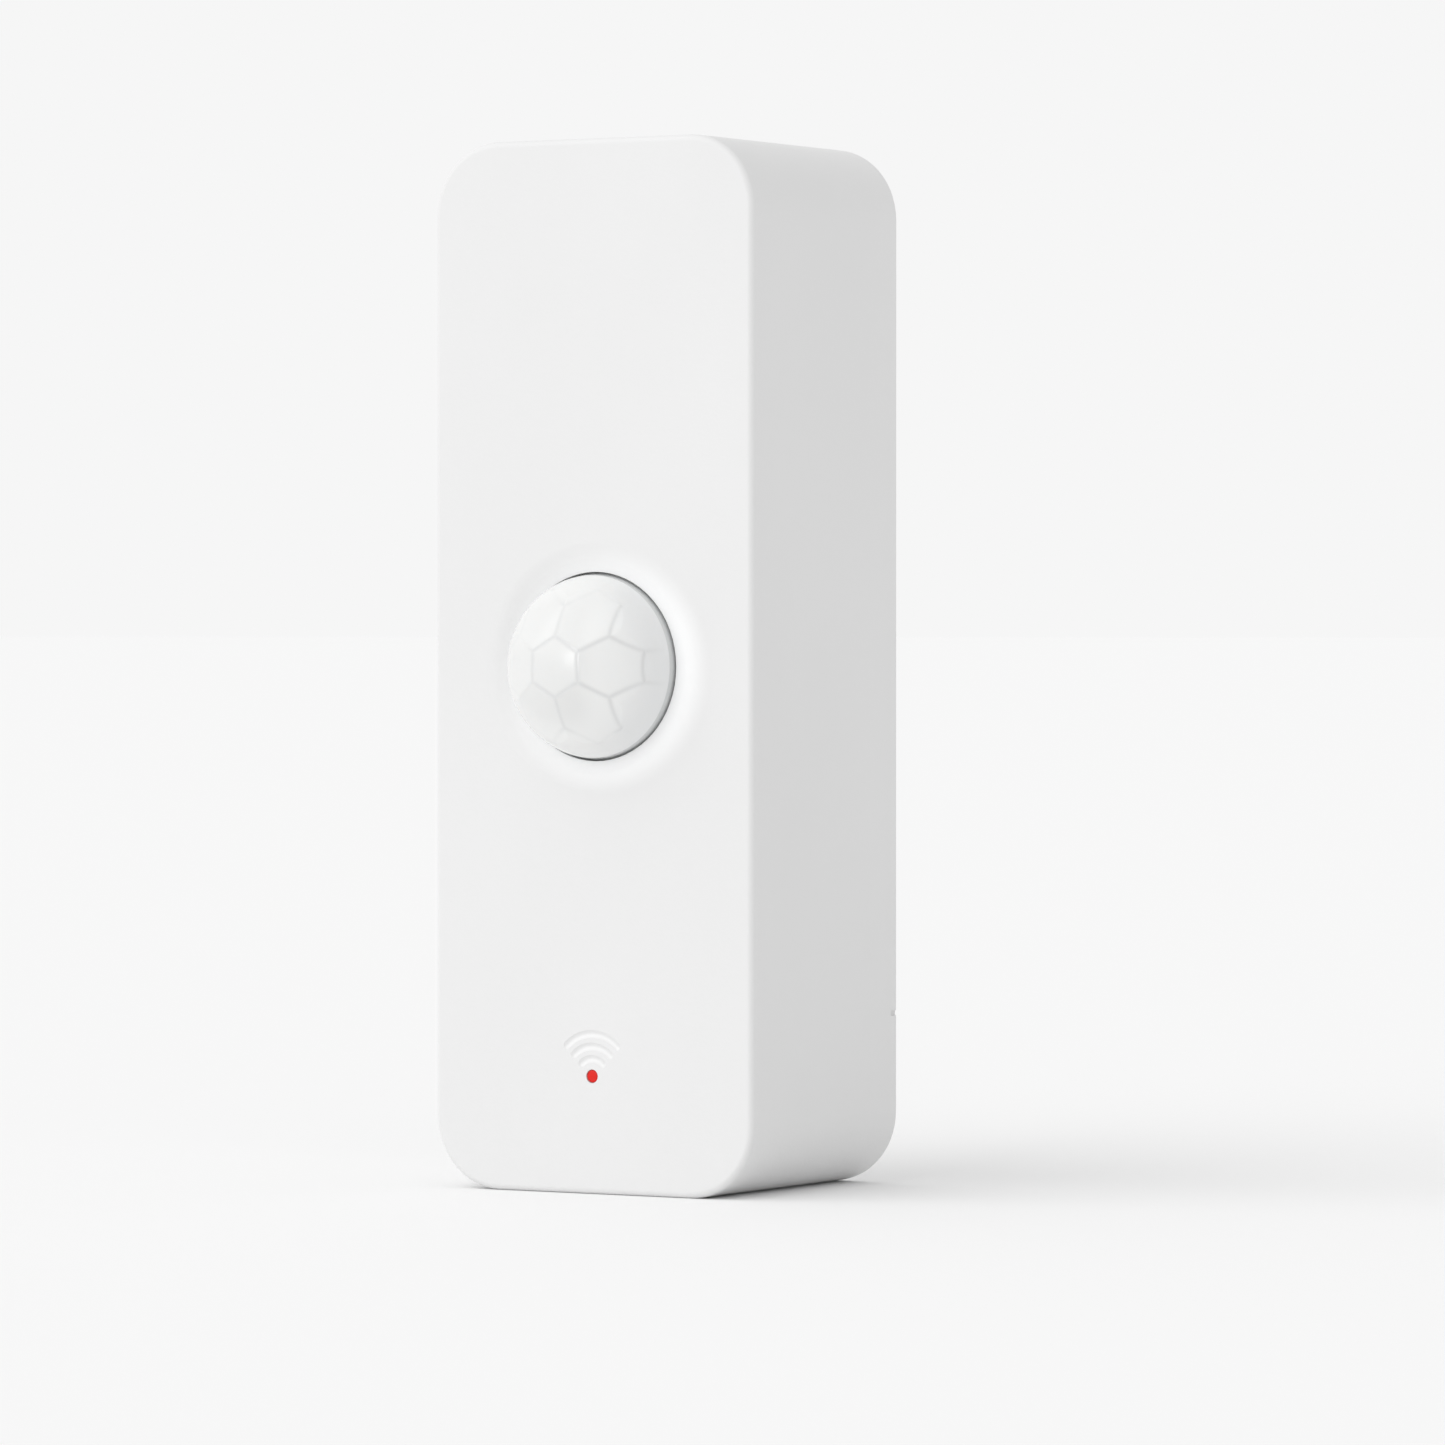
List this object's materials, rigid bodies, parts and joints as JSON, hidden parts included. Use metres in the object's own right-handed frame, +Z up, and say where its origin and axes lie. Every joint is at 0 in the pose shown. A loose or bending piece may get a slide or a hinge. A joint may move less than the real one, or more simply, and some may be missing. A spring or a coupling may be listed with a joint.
{
  "type": "motion sensor",
  "caption": "Slim upright battery-powered passive infrared motion sensor: rounded white box with a faceted milky lens dome, red status light, hinged rear cover and adhesive pad.",
  "frame": {"origin": "centre of the wall face of the adhesive pad, level with the centre of the lens", "axes": "+Z up along the housing's long side, +Y into the wall, the lens faces -Y"},
  "size_m": [0.0268, 0.0268, 0.076],
  "materials": {
    "housing_white": "fine satin moulded ABS",
    "cover_white": "fine matte moulded ABS",
    "lens_milky": "milky translucent polyethylene, soft gloss",
    "retainer_grey": "moulded plastic",
    "indicator_red": "clear red light pipe",
    "chassis_white": "moulded plastic, light texture",
    "foam_tape": "closed-cell foam tape",
    "board_green": "solder mask over glass epoxy",
    "screw_steel": "zinc-plated, cross recess",
    "spacer_white": "moulded nylon",
    "nickel": "nickel-plated pressing",
    "filter_dark": "dark infrared filter",
    "sensor_ceramic": "fired ceramic",
    "radio_board_blue": "dark blue solder mask",
    "shield_tin": "tinned steel",
    "chip_black": "moulded epoxy",
    "copper": "gold-flashed copper",
    "led_white": "moulded package",
    "ferrite": "sintered ferrite",
    "tantalum_yellow": "moulded epoxy",
    "capacitor_tan": "tinned ends",
    "resistor_black": "tinned ends",
    "switch_black": "moulded nylon",
    "plunger_white": "moulded acetal",
    "spring_steel": "nickel-plated spring wire",
    "cell_steel": "nickel-plated can",
    "cell_filling": "pressed powder",
    "cell_sleeve": "plain printed sleeve, two tones, no lettering"
  },
  "bodies": {
    "housing": {"front_shell": "housing_white", "lens_dome": "lens_milky", "lens_retainer": "retainer_grey", "light_pipe": "indicator_red", "rear_chassis": "chassis_white", "main_board": "board_green", "board_screws": "screw_steel", "chassis_screws": "screw_steel", "pir_spacer": "spacer_white", "pir_header": "nickel", "pir_can": "nickel", "pir_window": "filter_dark", "pir_element": "sensor_ceramic", "wifi_board": "radio_board_blue", "wifi_shield": "shield_tin", "wifi_chip": "chip_black", "wifi_antenna": "copper", "status_led": "led_white", "sensor_chip": "chip_black", "regulator_chip": "chip_black", "boost_inductor": "ferrite", "tantalum_capacitor": "tantalum_yellow", "crystal": "nickel", "ceramic_capacitors": "capacitor_tan", "chip_resistors": "resistor_black", "reset_switch_body": "switch_black", "reset_switch_cover": "shield_tin", "bridge_contact": "nickel", "negative_contact": "nickel", "positive_contact": "nickel", "bridge_spring": "spring_steel", "negative_spring": "spring_steel", "left_cell_can": "cell_steel", "left_cell_core": "cell_filling", "left_cell_label": "cell_sleeve", "right_cell_can": "cell_steel", "right_cell_core": "cell_filling", "right_cell_label": "cell_sleeve"},
    "rear_cover": {"rear_cover": "cover_white", "adhesive_pad": "foam_tape"},
    "reset_button": {"reset_pusher": "plunger_white", "reset_switch_plunger": "plunger_white"}
  },
  "joints": [
    {"name": "cover_hinge", "type": "hinge", "parent": "housing", "child": "rear_cover", "pos_m": [0, -0.0006, 0.0369], "axis": [1, 0, 0], "range_deg": [0, 80]},
    {"name": "reset_press", "type": "slide", "parent": "housing", "child": "reset_button", "axis": [0, -1, 0], "range_m": [0, 0.0003], "stiffness_N_per_m": 3000, "springref_m": -0.0001}
  ]
}
